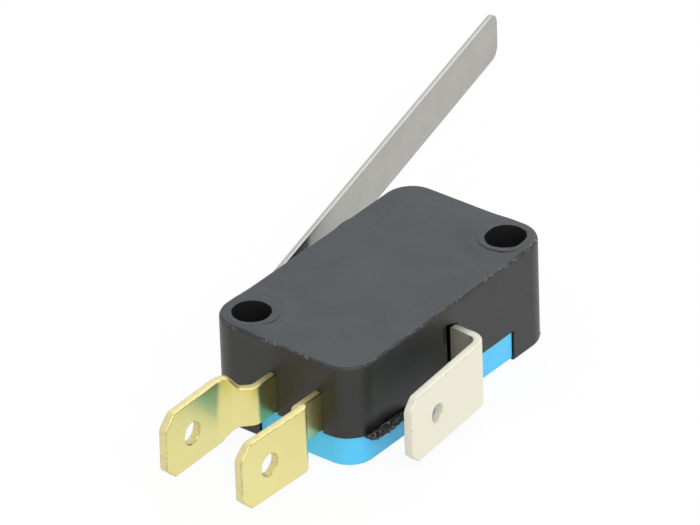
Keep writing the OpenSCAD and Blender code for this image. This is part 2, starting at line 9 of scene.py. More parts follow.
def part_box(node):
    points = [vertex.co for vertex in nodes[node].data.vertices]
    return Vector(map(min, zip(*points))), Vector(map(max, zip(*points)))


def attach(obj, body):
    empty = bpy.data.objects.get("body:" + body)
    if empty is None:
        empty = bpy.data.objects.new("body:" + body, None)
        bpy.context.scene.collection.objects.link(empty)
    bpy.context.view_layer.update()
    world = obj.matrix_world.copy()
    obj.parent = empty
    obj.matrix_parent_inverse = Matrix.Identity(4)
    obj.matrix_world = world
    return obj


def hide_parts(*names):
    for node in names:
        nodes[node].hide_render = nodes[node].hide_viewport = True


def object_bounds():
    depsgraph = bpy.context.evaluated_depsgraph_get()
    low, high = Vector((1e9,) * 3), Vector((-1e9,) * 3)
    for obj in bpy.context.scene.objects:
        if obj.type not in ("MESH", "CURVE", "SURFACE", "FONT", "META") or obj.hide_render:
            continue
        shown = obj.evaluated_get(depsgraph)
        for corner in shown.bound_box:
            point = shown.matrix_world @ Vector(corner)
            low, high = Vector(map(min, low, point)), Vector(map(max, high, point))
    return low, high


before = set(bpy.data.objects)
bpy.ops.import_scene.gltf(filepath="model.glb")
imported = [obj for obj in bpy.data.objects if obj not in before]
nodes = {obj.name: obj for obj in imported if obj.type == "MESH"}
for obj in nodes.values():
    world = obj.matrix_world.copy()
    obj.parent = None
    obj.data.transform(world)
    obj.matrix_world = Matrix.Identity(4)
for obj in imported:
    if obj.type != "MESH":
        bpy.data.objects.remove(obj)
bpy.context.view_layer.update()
scene = bpy.context.scene
mm = 0.001


class Sock:
    # an output socket; maths on it adds Math nodes
    def __init__(self, graph, socket):
        self.graph = graph
        self.socket = socket

    def op(self, kind, *others, clamp=False):
        values = {"i%d" % i: value for i, value in enumerate((self,) + others)}
        return self.graph.node("ShaderNodeMath", {"operation": kind, "use_clamp": clamp}, **values)

    def __add__(self, other):
        return self.op("ADD", other)

    def __sub__(self, other):
        return self.op("SUBTRACT", other)

    def __rsub__(self, other):
        return (self * -1).op("ADD", other)

    def __mul__(self, other):
        return self.op("MULTIPLY", other)

    __radd__ = __add__
    __rmul__ = __mul__

    def clamp(self):
        return self.op("ADD", 0.0, clamp=True)


class Graph:
    # a node tree and the one way of adding nodes to it
    def __init__(self, tree):
        self.tree = tree

    def node(self, kind, settings=None, out=(0,), **inputs):
        # settings are set first; an input goes by its name, or by its place as i0, i1 and so on
        made = self.tree.nodes.new(kind)
        for key, value in (settings or {}).items():
            setattr(made, key, value)
        for key, value in inputs.items():
            byPlace = key[0] == "i" and key[1:].isdigit()
            self.fill(made.inputs[int(key[1:]) if byPlace else key.replace("_", " ")], value)
        socks = [Sock(self, made.outputs[name]) for name in out]
        return socks[0] if len(socks) == 1 else socks

    def fill(self, target, value):
        # links a socket, or sets a number, a vector or a colour
        if isinstance(value, Sock):
            self.tree.links.new(value.socket, target)
        elif isinstance(value, tuple):
            target.default_value = (value + (1.0,))[:len(target.default_value)]
        else:
            target.default_value = value


class Finish(Graph):
    # one material with what its masks measure: place in millimetres and direction of the surface
    def __init__(self, name):
        self.mat = bpy.data.materials.new(name)
        self.mat.use_nodes = True
        super().__init__(self.mat.node_tree)
        self.bsdf = self.tree.nodes["Principled BSDF"]
        self.place = self.node("ShaderNodeTexCoord", out=("Object",))
        facing = self.node("ShaderNodeNewGeometry", out=("Normal",))
        axes = ("X", "Y", "Z")
        self.x, self.y, self.z = (
            v * (1 / mm) for v in self.node("ShaderNodeSeparateXYZ", out=axes, Vector=self.place))
        self.nx, self.ny, self.nz = self.node("ShaderNodeSeparateXYZ", out=axes, Vector=facing)

    def noise(self, scale, detail=2.0, rough=0.5, stretch=None):
        where = self.place
        if stretch:
            where = self.node("ShaderNodeMapping", Vector=self.place, Scale=stretch)
        return self.node("ShaderNodeTexNoise", {"noise_dimensions": "3D"}, Vector=where, Scale=scale,
                         Detail=detail, Roughness=rough)

    def marked(self, name):
        # number that the mesh carries on its faces
        return self.node("ShaderNodeAttribute", {"attribute_name": name}, out=("Fac",))

    def step(self, value, low, high):
        # 0 below low, 1 above high, straight between
        return self.node("ShaderNodeMapRange", {"clamp": True}, i0=value, i1=low, i2=high)

    def fall(self, value, low, high):
        return 1 - self.step(value, low, high)

    def within(self, value, low, high, soft):
        return self.step(value, low - soft, low) * self.fall(value, high, high + soft)

    def mix(self, mask, first, second):
        return self.node("ShaderNodeMix", {"data_type": "RGBA"}, out=(2,), i0=mask, i6=first, i7=second)

    def feed(self, name, value):
        self.fill(self.bsdf.inputs[name], value)

    def bump(self, height, distance):
        self.feed("Normal", self.node("ShaderNodeBump", Height=height, Distance=distance, Strength=1.0))


def paint(obj, mat):
    obj.data.materials.clear()
    obj.data.materials.append(mat)


def smoothByAngle(obj, angle):
    mesh = obj.data
    mesh.polygons.foreach_set("use_smooth", [True] * len(mesh.polygons))
    mesh.set_sharp_from_angle(angle=math.radians(angle))


def newObject(name, bm):
    mesh = bpy.data.meshes.new(name)
    bm.to_mesh(mesh)
    bm.free()
    obj = bpy.data.objects.new(name, mesh)
    scene.collection.objects.link(obj)
    return obj


def opened(obj):
    bm = bmesh.new()
    bm.from_mesh(obj.data)
    return bm


def closed(obj, bm):
    bm.to_mesh(obj.data)
    bm.free()


def cadCopy(name, nodeName):
    # welded copy of a solid's mesh with its flat faces made whole again
    obj = bpy.data.objects.new(name, nodes[nodeName].data.copy())
    scene.collection.objects.link(obj)
    bm = opened(obj)
    bmesh.ops.remove_doubles(bm, verts=bm.verts, dist=2e-6)
    bmesh.ops.dissolve_limit(bm, angle_limit=math.radians(0.6), verts=bm.verts, edges=bm.edges)
    closed(obj, bm)
    if obj.data.has_custom_normals:
        with bpy.context.temp_override(object=obj, active_object=obj, selected_objects=[obj]):
            bpy.ops.mesh.customdata_custom_splitnormals_clear()
    return obj


def applyModifiers(obj):
    graph = bpy.context.evaluated_depsgraph_get()
    done = bpy.data.meshes.new_from_object(obj.evaluated_get(graph))
    obj.modifiers.clear()
    obj.data = done


def roundEdges(obj, width, angle):
    bevel = obj.modifiers.new("edges", "BEVEL")
    bevel.width = width * mm
    bevel.segments = 2
    bevel.limit_method = "ANGLE"
    bevel.angle_limit = math.radians(angle)
    bevel.use_clamp_overlap = True
    bevel.miter_outer = "MITER_ARC"
    applyModifiers(obj)
    smoothByAngle(obj, 40)


def evenNormals(obj):
    # large flat faces keep flat shading beside small rounded ones
    even = obj.modifiers.new("normals", "WEIGHTED_NORMAL")
    even.weight = 50
    even.keep_sharp = True
    applyModifiers(obj)


def cutAway(obj, place, direction):
    # keeps the side that direction points to and closes the cut
    bm = opened(obj)
    geom = list(bm.verts) + list(bm.edges) + list(bm.faces)
    cut = bmesh.ops.bisect_plane(bm, geom=geom, dist=1e-7, plane_co=Vector(place) * mm,
                                 plane_no=direction, clear_inner=True)
    rim = [e for e in cut["geom_cut"] if isinstance(e, bmesh.types.BMEdge)]
    bmesh.ops.holes_fill(bm, edges=rim)
    closed(obj, bm)


def joinInto(obj, other):
    with bpy.context.temp_override(object=obj, active_object=obj, selected_editable_objects=[obj, other]):
        bpy.ops.object.join()


def sliceFaces(bm, wanted, axis, spacing):
    # cuts the wanted faces by evenly spaced planes across one axis
    faces = [f for f in bm.faces if wanted(f)]
    places = [v.co[axis] for f in faces for v in f.verts]
    direction = [0, 0, 0]
    direction[axis] = 1
    at = math.floor(min(places) / spacing) * spacing + spacing / 2
    while at < max(places):
        faces = [f for f in bm.faces if wanted(f)]
        geom = set(faces)
        for f in faces:
            geom.update(f.edges)
            geom.update(f.verts)
        point = [0, 0, 0]
        point[axis] = at
        bmesh.ops.bisect_plane(bm, geom=list(geom), dist=1e-7, plane_co=point, plane_no=direction)
        at += spacing


def finishPiece(obj, body, mat, node):
    paint(obj, mat)
    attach(obj, body)
    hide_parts(node)


def ease(value, low, high):
    t = max(0.0, min(1.0, (value - low) / (high - low)))
    return t * t * (3 - 2 * t)


def waver(x, y, z, size):
    # smooth noise from -1 to 1 with bumps of the given size, all in millimetres
    return noise.noise(Vector((x, y, z)) / size)


# measures of the body in millimetres, shared by its shape and its finish
body = {
    "low": (-2.8, -13.1), "high": (25.0, 2.8), "corner": 2.75,
    "bore": 1.6, "top": 10.15, "pad": 10.3, "padEdge": 2.5, "nearTop": 9.8,
    "parting": 3.1, "edgeRound": 0.06,
    "holes": (                                             # slot is half of its extra length
        {"at": (0.0, 0.0), "slot": 0.0, "inward": (0.907, -0.421), "torn": 0.05},
        {"at": (22.2, -10.3), "slot": 0.18, "inward": (-0.907, 0.421), "torn": 0.14},
    ),
}

caseFinish = {
    # top is bluer than side, a painted reflection of the sky on faces turned upwards
    "top": (0.020, 0.029, 0.038),
    "side": (0.015, 0.015, 0.0145),
    "deep": (0.008, 0.008, 0.008),
    "worn": (0.19, 0.19, 0.18),
    # near-black painted shade at the pads' steps
    "shade": (0.002, 0.002, 0.002),
    # near-black colour of painted shade above the flash and in the common strip's recess
    "paintedShade": (0.004, 0.004, 0.004),
    "broken": (0.010, 0.010, 0.010),
    "sparkle": (0.50, 0.50, 0.50),
    "roughness": 0.43,
    "grain": 4200.0,
    "grainDepth": 0.000010,
}

# where the case is marked, in millimetres: low and high, or low, high and fade
caseMarks = {
    "rim": (9.98, 10.26, 0.06),
    "endMiddle": {"x": (-2.5, -2.0), "y": (-8.6, -2.6, 0.8)},
    "farEdge": {"x": (12.0, 15.0), "y": (-12.7, -12.3)},
    # where the painted shade falls: above the flash, in the recess and on a patch beside it
    "paintedShade": {"x": (-0.9, 5.0, 0.5), "y": (-12.6, -12.2), "z": (2.85, 2.95),
             "middle": 0.7, "crown": 4.62, "curve": 0.085},
    "recess": {"x": (10.1, 11.6, 0.03), "y": (-13.05, -12.2, 0.03), "z": (3.0, 8.6, 0.1)},
    "beside": {"x": (9.75, 10.2, 0.12), "y": (-13.0, -12.9), "z": (6.8, 8.3, 0.25)},
    "ringHalf": 0.07,
    "crumbs": (0.2, 2.6),
}


def rimDots(m):
    # flash rubbed pale along the top edges, in broken dots, more of them on two stretches
    middle, far = caseMarks["endMiddle"], caseMarks["farEdge"]
    rim = m.within(m.z, *caseMarks["rim"]) * m.fall(m.nz, 0.90, 0.97) * m.step(m.nz, 0.1, 0.3)
    dots = m.step(m.noise(3000.0, 2.0, 0.7), 0.50, 0.62) * m.step(m.noise(480.0, 2.0, 0.6), 0.40, 0.54)
    endMiddle = m.fall(m.x, *middle["x"]) * m.within(m.y, *middle["y"])
    farEdge = m.fall(m.y, *far["y"]) * m.step(m.x, *far["x"])
    return (rim * dots * (endMiddle * 0.6 + farEdge * 0.6 + 0.35)).clamp()


def padStepShade(m, hole):
    # ring of painted shade where a pad steps up, only on its side towards the body's middle
    half = caseMarks["ringHalf"]
    dx, dy = (place - at for place, at in zip((m.x, m.y), hole["at"]))
    r = (dx * dx + dy * dy).op("SQRT") + (m.noise(700.0, 2.0, 0.5) - 0.5) * 0.3
    ring = m.within(r, body["padEdge"] - half, body["padEdge"] + half, 0.05)
    ring = ring * m.step(dx * hole["inward"][0] + dy * hole["inward"][1], -0.2, 0.9)
    return ring * (0.35 + 0.65 * m.fall(dy, -0.6, 0.9))


def paintedShadeMask(m):
    # painted shade, near black: the wall above the molten flash, and the recess of the common strip with a
    # patch beside it
    wall, recess, beside = (caseMarks[name] for name in ("paintedShade", "recess", "beside"))
    u = m.x - wall["middle"]
    under = wall["crown"] - u * u * wall["curve"] - m.z
    paintedShade = (m.step(under, -0.2, 0.7) * m.step(m.z, *wall["z"]) * m.fall(m.y, *wall["y"])
            * m.within(m.x, *wall["x"]))
    inside = m.within(m.x, *recess["x"]) * m.within(m.y, *recess["y"]) * m.within(m.z, *recess["z"])
    patch = m.within(m.x, *beside["x"]) * m.within(m.z, *beside["z"]) * m.fall(m.y, *beside["y"])
    return (paintedShade + inside + patch * 0.8).clamp()


def caseMaterial():
    f = caseFinish
    m = Finish("mouldedBlack")
    grain = m.noise(f["grain"], 3.0, 0.6)
    cloud = m.noise(230.0, 3.0, 0.55)
    # painted reflection: faces turned upwards get the bluer top colour, standing in for the sky seen in them
    facingUp = m.step(m.nz, 0.78, 0.96)
    base = m.mix(facingUp, f["side"], f["top"])
    base = m.mix(m.step(cloud, 0.35, 0.75) * 0.45, base, f["deep"])
    base = m.mix(rimDots(m), base, f["worn"])
    specks = m.step(m.noise(4600.0, 1.0, 0.5), 0.74, 0.80)
    base = m.mix((specks * 0.22).clamp(), base, f["worn"])
    # painted shade where the pads step up, broken into ragged bits
    torn = m.step(m.noise(1500.0, 3.0, 0.7), 0.46, 0.56)
    for hole in body["holes"]:
        base = m.mix((padStepShade(m, hole) * torn * facingUp * 0.9).clamp(), base, f["shade"])
    # painted shade above the flash and around the common strip's recess, near black and also made metallic
    paintedShade = paintedShadeMask(m)
    base = m.mix(paintedShade, base, f["paintedShade"])
    # the flash is broken, with bright crumbs
    scar = m.marked("scar")
    crumbs = m.step(m.noise(5200.0, 2.0, 0.85), 0.58, 0.68) * (0.95 - m.step(m.x, *caseMarks["crumbs"]) * 0.5)
    base = m.mix(scar, base, m.mix(crumbs, f["broken"], f["sparkle"]))
    m.feed("Metallic", (paintedShade * 0.93 * (1 - scar)).clamp())
    m.feed("Base Color", base)
    m.feed("Roughness", (f["roughness"] + (grain - 0.5) * 0.20 + (cloud - 0.5) * 0.10).clamp())
    m.bump(grain * 0.7 + cloud * 0.5, f["grainDepth"])
    return m.mat


coverFinish = {
    "colour": (0.094, 0.605, 0.985),
    "deep": (0.082, 0.555, 0.950),
    "roughness": 0.38,
    "glow": 0.12,
    "glowDepth": (0.0006, 0.0009, 0.0014),
}


def coverMaterial():
    f = coverFinish
    m = Finish("mouldedBlue")
    cloud = m.noise(190.0, 2.0, 0.5)
    grain = m.noise(4200.0, 2.0, 0.5)
    m.feed("Base Color", m.mix(m.step(cloud, 0.35, 0.7), f["colour"], f["deep"]))
    m.feed("Roughness", (f["roughness"] + (grain - 0.5) * 0.12).clamp())
    m.feed("Subsurface Weight", f["glow"])
    m.feed("Subsurface Radius", f["glowDepth"])
    m.feed("Subsurface Scale", 1.0)
    m.bump(grain, 0.000006)
    return m.mat


# hidden is the stretch of a strip that stands in shade, in millimetres
sheetFinish = {
    "brassSheet": {
        "colour": (0.83, 0.76, 0.335), "warm": (0.80, 0.70, 0.27), "punched": (0.66, 0.58, 0.31),
        "line": (0.50, 0.42, 0.18), "roughness": 0.30, "metallic": 1.0, "hidden": None,
    },
    "platedSheet": {
        "colour": (0.835, 0.815, 0.67), "warm": (0.81, 0.78, 0.61), "punched": (0.66, 0.655, 0.59),
        "line": (0.60, 0.55, 0.38), "roughness": 0.33, "metallic": 0.78,
        # painted shade, near black, on the stretch inside the wall's recess
        "hidden": {"x": (10.0, 12.0, 0.1), "y": (-13.12, -13.06), "colour": (0.006, 0.006, 0.006)},
    },
}


def sheetMaterial(name):
    # rolled strip: almost even faces, punched edges with drag lines, a darker line where they meet, partly a
    # burr and partly painted shade on the rounding
    f = sheetFinish[name]
    m = Finish(name)
    cloud = m.noise(170.0, 2.0, 0.5)
    fine = m.noise(3400.0, 2.0, 0.6)
    rolled = m.noise(1500.0, 3.0, 0.6, (0.06, 1.0, 1.6))
    drag = m.noise(2300.0, 3.0, 0.7, (1.0, 0.12, 1.0))
    zone = m.marked("zone")
    edge = m.step(zone, 0.70, 0.80)
    line = m.step(zone, 0.30, 0.40) * (1 - edge)
    base = m.mix((m.step(cloud, 0.40, 0.75) * 0.5).clamp(), f["colour"], f["warm"])
    base = m.mix((edge * (0.55 + m.step(drag, 0.4, 0.7) * 0.45)).clamp(), base, f["punched"])
    # darker line on the rounding, partly a burr and partly painted shade
    base = m.mix((line * (0.2 + m.step(fine, 0.4, 0.6) * 0.6)).clamp(), base, f["line"])
    # painted shade: the stretch of strip inside the wall's recess is coloured near black
    if f["hidden"]:
        hidden = m.step(m.y, *f["hidden"]["y"]) * m.within(m.x, *f["hidden"]["x"])
        base = m.mix(hidden, base, f["hidden"]["colour"])
    m.feed("Base Color", base)
    m.feed("Metallic", f["metallic"] - edge * 0.45)
    m.feed("Roughness", (f["roughness"] + (fine - 0.5) * 0.05 + (rolled - 0.5) * 0.05 + edge * 0.18).clamp())
    m.bump(rolled * 0.5 + drag * edge * 2.0, 0.000004)
    return m.mat


leverFinish = {
    "colour": (0.420, 0.415, 0.382),
    "dull": (0.372, 0.367, 0.334),
    "rub": (0.44, 0.44, 0.42),
    # colour of painted shade at the lever's root, and how far along it reaches
    "rootShade": (0.055, 0.050, 0.044),
    "rootShadeTo": (15.4, 16.2),
    "roughness": 0.40,
    "metallic": 0.85,
}


def leverMaterial():
    f = leverFinish
    m = Finish("dullStainless")
    mottle = m.noise(330.0, 4.0, 0.6)
    lines = m.noise(1600.0, 3.0, 0.6, (0.10, 1.0, 2.0))
    fine = m.noise(3300.0, 2.0, 0.6)
    base = m.mix((m.step(mottle, 0.36, 0.7) * 0.5).clamp(), f["colour"], f["dull"])
    base = m.mix((m.step(lines, 0.56, 0.76) * 0.25).clamp(), base, f["rub"])
    # faces turned upwards are coloured lighter
    edge = m.step(m.nz, 0.55, 0.85)
    base = m.mix(edge * 0.7, base, f["rub"])
    # painted shade at the root, standing for the shade and the dark case reflected there, on the side that
    # faces the case
    reach = m.x + (m.noise(900.0, 2.0, 0.5) - 0.5) * 0.8
    root = m.fall(reach, *f["rootShadeTo"]) * (1 - edge) * m.fall(m.ny, -0.5, 0.0)
    base = m.mix((root * 0.9).clamp(), base, f["rootShade"])
    m.feed("Base Color", base)
    m.feed("Metallic", f["metallic"])
    m.feed("Roughness", (f["roughness"] + (fine - 0.5) * 0.14 + (mottle - 0.5) * 0.12).clamp())
    m.bump(lines * 0.5 + fine * 0.5, 0.000007)
    return m.mat


innerFinish = {
    "ivory": {"colour": (0.72, 0.68, 0.58), "roughness": 0.42, "metallic": 0.0, "scale": 900.0},
    "silver": {"colour": (0.80, 0.80, 0.78), "roughness": 0.28, "metallic": 0.95, "scale": 1600.0},
    "bronze": {"colour": (0.62, 0.38, 0.20), "roughness": 0.30, "metallic": 0.92, "scale": 1300.0},
    "rockerSteel": {"colour": (0.55, 0.54, 0.51), "roughness": 0.36, "metallic": 0.90, "scale": 1300.0},
    "springWire": {"colour": (0.50, 0.50, 0.52), "roughness": 0.28, "metallic": 0.95, "scale": 2600.0},
}


def innerMaterial(name):
    f = innerFinish[name]
    m = Finish(name)
    tone = m.noise(f["scale"], 3.0, 0.6)
    dark = tuple(c * 0.72 for c in f["colour"])
    m.feed("Base Color", m.mix(m.step(tone, 0.42, 0.78), f["colour"], dark))
    m.feed("Metallic", f["metallic"])
    m.feed("Roughness", (f["roughness"] + (tone - 0.5) * 0.25).clamp())
    m.bump(tone, 0.000006)
    return m.mat


# angles in degrees, the rest in millimetres
viewpoint = {
    "aim": (11.747, -1.423, 9.738), "distance": 730.31,
    "azimuth": -50.7204, "elevation": 31.9454, "roll": -2.0456,
    "lens": 436.253, "sensor": 36.0,
}


def makeCamera():
    v = viewpoint
    data = bpy.data.cameras.new("viewCamera")
    cam = bpy.data.objects.new("viewCamera", data)
    scene.collection.objects.link(cam)
    turn = Matrix.Rotation(math.radians(v["azimuth"]), 4, "Z")
    turn = turn @ Matrix.Rotation(math.radians(90 - v["elevation"]), 4, "X")
    turn = turn @ Matrix.Rotation(math.radians(v["roll"]), 4, "Z")
    place = Vector(v["aim"]) + turn.col[2].to_3d() * v["distance"]
    cam.matrix_world = Matrix.Translation(place * mm) @ turn
    data.lens = v["lens"]
    data.sensor_width = v["sensor"]
    data.clip_start = 0.01
    data.clip_end = 20.0
    scene.camera = cam


print("finishes and camera")
blackPlastic = caseMaterial()
bluePlastic = coverMaterial()
brassSheet = sheetMaterial("brassSheet")
platedSheet = sheetMaterial("platedSheet")
leverSteel = leverMaterial()
makeCamera()


# what the finished case has beyond its solid, in millimetres
caseWear = {
    "endSlots": {                                          # as the solid has them, then closed on the strips
        "middles": (-4.36, -9.3), "before": -0.3, "half": 0.5, "top": 7.25,
        "closedHalf": 0.415, "closedTop": 7.17,
    },
    "sideSlot": {
        "front": -12.2, "from": 10.9, "right": 11.75, "top": 8.445,
        "closedRight": 11.48, "closedTop": 8.0,
    },
    "rim": {
        "band": 0.32, "shifts": ((0.018, 0.55), (0.012, 0.2)),
        "bumpFrom": 14.9, "bumpTo": 17.1, "bumpRise": 0.13, "bumpBand": (2.2, 2.75),
    },
    "pads": {"slice": 0.45, "rise": 0.115, "rub": 0.05, "slope": 2.0, "ragged": 0.10, "grow": 0.22},
    "mouths": {"open": 0.15, "depth": 1.3, "reach": 0.14, "rough": 0.02},
    "seam": {"slice": 0.5, "near": 0.08, "wave": 0.05},
}

moltenFlash = {
    "from": -1.0, "to": 4.9, "height": 2.70, "half": 0.50, "stand": 0.56,
    "lumps": ((0.22, 0.6), (0.18, 0.22), (0.14, 0.1)),     # how tall and how wide
    "cornerAt": -0.1, "cornerMiddle": -10.4, "cornerRadius": 2.7,
    "rings": 150, "around": 44, "crumbs": 420, "crumbSize": (0.03, 0.08), "seed": 11,
    "legBurrs": {
        "angles": (-38, -30, -21, -12, -47), "heights": (0.30, 0.85, 1.5, 2.1, 0.12),
        "radius": 2.8, "grains": 4, "size": (0.05, 0.09), "seed": 5,
    },
}


def rimDistance(x, y):
    # how far a point is outside the body's plan, negative inside
    half = [(h - l) / 2 - body["corner"] for l, h in zip(body["low"], body["high"])]
    mid = [(h + l) / 2 for l, h in zip(body["low"], body["high"])]
    qx = abs(x - mid[0]) - half[0]
    qy = abs(y - mid[1]) - half[1]
    return math.hypot(max(qx, 0), max(qy, 0)) + min(max(qx, qy), 0) - body["corner"]


def holeOffset(hole, x, y):
    # vector from the nearest point of a hole's middle line
    cx, cy = hole["at"]
    return Vector((x - max(cx - hole["slot"], min(cx + hole["slot"], x)), y - cy))


def closeSlots(bm):
    # the strips fill their slots in the outer walls
    end, side = caseWear["endSlots"], caseWear["sideSlot"]
    for v in bm.verts:
        x, y, z = (c / mm for c in v.co)
        if x < end["before"]:
            for middle in end["middles"]:
                off = y - middle
                if abs(abs(off) - end["half"]) < 0.02:
                    v.co.y = (middle + math.copysign(end["closedHalf"], off)) * mm
                    if abs(z - end["top"]) < 0.02:
                        v.co.z = end["closedTop"] * mm
        if y < side["front"]:
            if abs(x - side["right"]) < 0.02:
                v.co.x = side["closedRight"] * mm
            if side["from"] < x < side["right"] + 0.05 and abs(z - side["top"]) < 0.03:
                v.co.z = side["closedTop"] * mm


def wearRim(x, y, z, normal):
    # a small bump on the lever side, and an uneven edge all round
    w = caseWear["rim"]
    if w["bumpFrom"] < x < w["bumpTo"]:
        along = (x - w["bumpFrom"]) / (w["bumpTo"] - w["bumpFrom"])
        z += w["bumpRise"] * math.sin(math.pi * along) * ease(y, *w["bumpBand"])
    if rimDistance(x, y) > -w["band"] and abs(normal.z) < 0.97:
        (broad, broadSize), (fine, fineSize) = w["shifts"]
        shift = broad * waver(x, y, z, broadSize) + fine * waver(y, x, z, fineSize)
        x += normal.x * shift
        y += normal.y * shift
    return x, y, z


def wearPad(x, y, z, hole, off):
    # the pad keeps its step towards the body's middle and melts into the top elsewhere
    w = caseWear["pads"]
    r = off.length
    seed = hole["at"][0]
    top, step = body["top"], body["pad"] - body["top"]
    worn = 0.5 + 0.5 * waver(off.x + seed, off.y, 0, 0.7)
    edge = body["padEdge"] + w["ragged"] * waver(off.x, off.y + seed, 4, 0.6)
    sharp = ease(off.dot(Vector(hole["inward"])) / r, -0.3, 0.5)
    level = (w["rise"] - w["rub"] * worn) * sharp + (step - 0.004) * (1 - sharp)
    rise = level * (1 - ease(r, edge, edge + w["slope"]))
    wider = (w["grow"] * sharp * ease(r, 1.95, 2.25) * (1 - ease(r, 2.4, 4.4))
             * ease(-rimDistance(x, y), 0.35, 0.9))
    x += off.x / r * wider
    y += off.y / r * wider
    if z >= top:
        z = top + rise + (step - rise) * (z - top) / step
    else:
        z += rise * ease(z, body["nearTop"], top)
    return x, y, z


def openMouth(x, y, z, hole, off):
    # the bore widens a little at its top, with a ragged edge
    w = caseWear["mouths"]
    bottom = body["pad"] - w["depth"]
    r = off.length
    if r >= body["bore"] + w["reach"] or z <= bottom:
        return x, y
    depth = ease(z, bottom, body["pad"] - 0.1)
    wanted = body["bore"] + w["open"] * depth + w["rough"] * waver(off.x, off.y, 3.3 + hole["at"][0], 0.5)
    wanted += hole["torn"] * depth * waver(off.x, off.y, 9, 0.9)
    more = max(0.0, wanted / r - 1)
    return x + off.x * more, y + off.y * more


def shapeTop(bm):
    pads = caseWear["pads"]

    def high(f):
        return min(v.co.z for v in f.verts) > body["nearTop"] * mm

    for axis in (0, 1):
        sliceFaces(bm, high, axis, pads["slice"] * mm)
    bm.normal_update()
    for v in bm.verts:
        x, y, z = (c / mm for c in v.co)
        if z < body["parting"] + 1:
            continue
        onTop = z > body["nearTop"]
        if onTop:
            x, y, z = wearRim(x, y, z, v.normal)
        for hole in body["holes"]:
            off = holeOffset(hole, x, y)
            if 1e-6 < off.length <= body["padEdge"] + pads["slope"] + 0.5:
                if onTop:
                    x, y, z = wearPad(x, y, z, hole, off)
                x, y = openMouth(x, y, z, hole, off)
        v.co = Vector((x, y, z)) * mm


def waveParting(bm):
    # the lower edge of the outer walls wanders a little
    w = caseWear["seam"]

    def near(v):
        return abs(v.co.z / mm - body["parting"]) < w["near"]

    def lip(f):
        return (any(near(v) for v in f.verts)
                and all(rimDistance(v.co.x / mm, v.co.y / mm) > -0.25 for v in f.verts))

    for axis in (0, 1):
        sliceFaces(bm, lip, axis, w["slice"] * mm)
    for v in bm.verts:
        x, y, _ = (c / mm for c in v.co)
        if near(v) and rimDistance(x, y) > -0.12:
            v.co.z += w["wave"] * (waver(x, y, 0, 1.4) + 0.5 * waver(y, x, 5, 0.5) - 0.5) * mm


def crumb(bm, place, size, rng):
    # one angular grain
    made = bmesh.ops.create_icosphere(bm, subdivisions=1, radius=size * mm)["verts"]
    for v in made:
        v.co = v.co * rng.uniform(0.7, 1.25) + Vector(place) * mm


def flashPlace(x, a, grow=0.0):
    # a point of the flash at a length along it and an angle round it
    g = moltenFlash
    inside = max(0.0, g["cornerAt"] - x)
    y = g["cornerMiddle"] - math.sqrt(g["cornerRadius"] ** 2 - inside ** 2)
    end = ease(x, g["from"], g["from"] + 0.9) * (1 - ease(x, g["to"] - 0.5, g["to"]))
    lump = sum(tall * waver(x, n * math.cos(a), n * math.sin(a), size)
               for n, (tall, size) in enumerate(g["lumps"], 1))
    size = (0.22 + 0.78 * end) * (1 + lump + grow)
    tall = g["half"] * size * (0.95 + 0.25 * waver(x, 7.0, 0, 0.8))
    out = g["stand"] * size * math.sin(a)
    return x, y + 0.14 - out, g["height"] + 0.25 * (1 - end) + tall * math.cos(a)


def makeFlash():
    # rough granular flash squeezed out of the seam on the common side
    g = moltenFlash
    rng = random.Random(g["seed"])
    bm = bmesh.new()
    rings = []
    for i in range(g["rings"]):
        x = g["from"] + (g["to"] - g["from"]) * i / (g["rings"] - 1)
        angles = [2 * math.pi * k / g["around"] for k in range(g["around"])]
        rings.append([bm.verts.new(Vector(flashPlace(x, a)) * mm) for a in angles])
    for a, b in zip(rings, rings[1:]):
        for k in range(g["around"]):
            n = (k + 1) % g["around"]
            bm.faces.new((a[k], a[n], b[n], b[k]))
    bm.faces.new(rings[0][::-1])
    bm.faces.new(rings[-1])
    for _ in range(g["crumbs"]):
        x = rng.uniform(g["from"] + 0.1, g["to"] - 0.2)
        crumb(bm, flashPlace(x, rng.uniform(0.2, 2.9), 0.02), rng.uniform(*g["crumbSize"]), rng)
    addLegBurrs(bm)
    scar = bm.faces.layers.float.new("scar")
    for f in bm.faces:
        f[scar] = 1.0
    bmesh.ops.recalc_face_normals(bm, faces=bm.faces)
    return newObject("moltenFlash", bm)


def addLegBurrs(bm):
    # a few burrs low on the far leg
    b = moltenFlash["legBurrs"]
    rng = random.Random(b["seed"])
    cx, cy = body["holes"][1]["at"]
    for angle, height in zip(b["angles"], b["heights"]):
        for _ in range(b["grains"]):
            a = math.radians(angle) + rng.uniform(-0.05, 0.05)
            place = (cx + b["radius"] * math.cos(a), cy + b["radius"] * math.sin(a),
                     height + rng.uniform(-0.1, 0.1))
            crumb(bm, place, rng.uniform(*b["size"]), rng)


def makeCase():
    case = cadCopy("caseShell", "case")
    bm = opened(case)
    closeSlots(bm)
    closed(case, bm)
    roundEdges(case, body["edgeRound"], 50)
    bm = opened(case)
    bm.faces.layers.float.new("scar")
    shapeTop(bm)
    waveParting(bm)
    closed(case, bm)
    smoothByAngle(case, 40)
    evenNormals(case)
    joinInto(case, makeFlash())
    finishPiece(case, "switch_body", blackPlastic, "case")


def makeCover():
    cover = cadCopy("coverTray", "cover")
    roundEdges(cover, body["edgeRound"], 50)
    evenNormals(cover)
    finishPiece(cover, "switch_body", bluePlastic, "cover")


print("body")
makeCase()
makeCover()


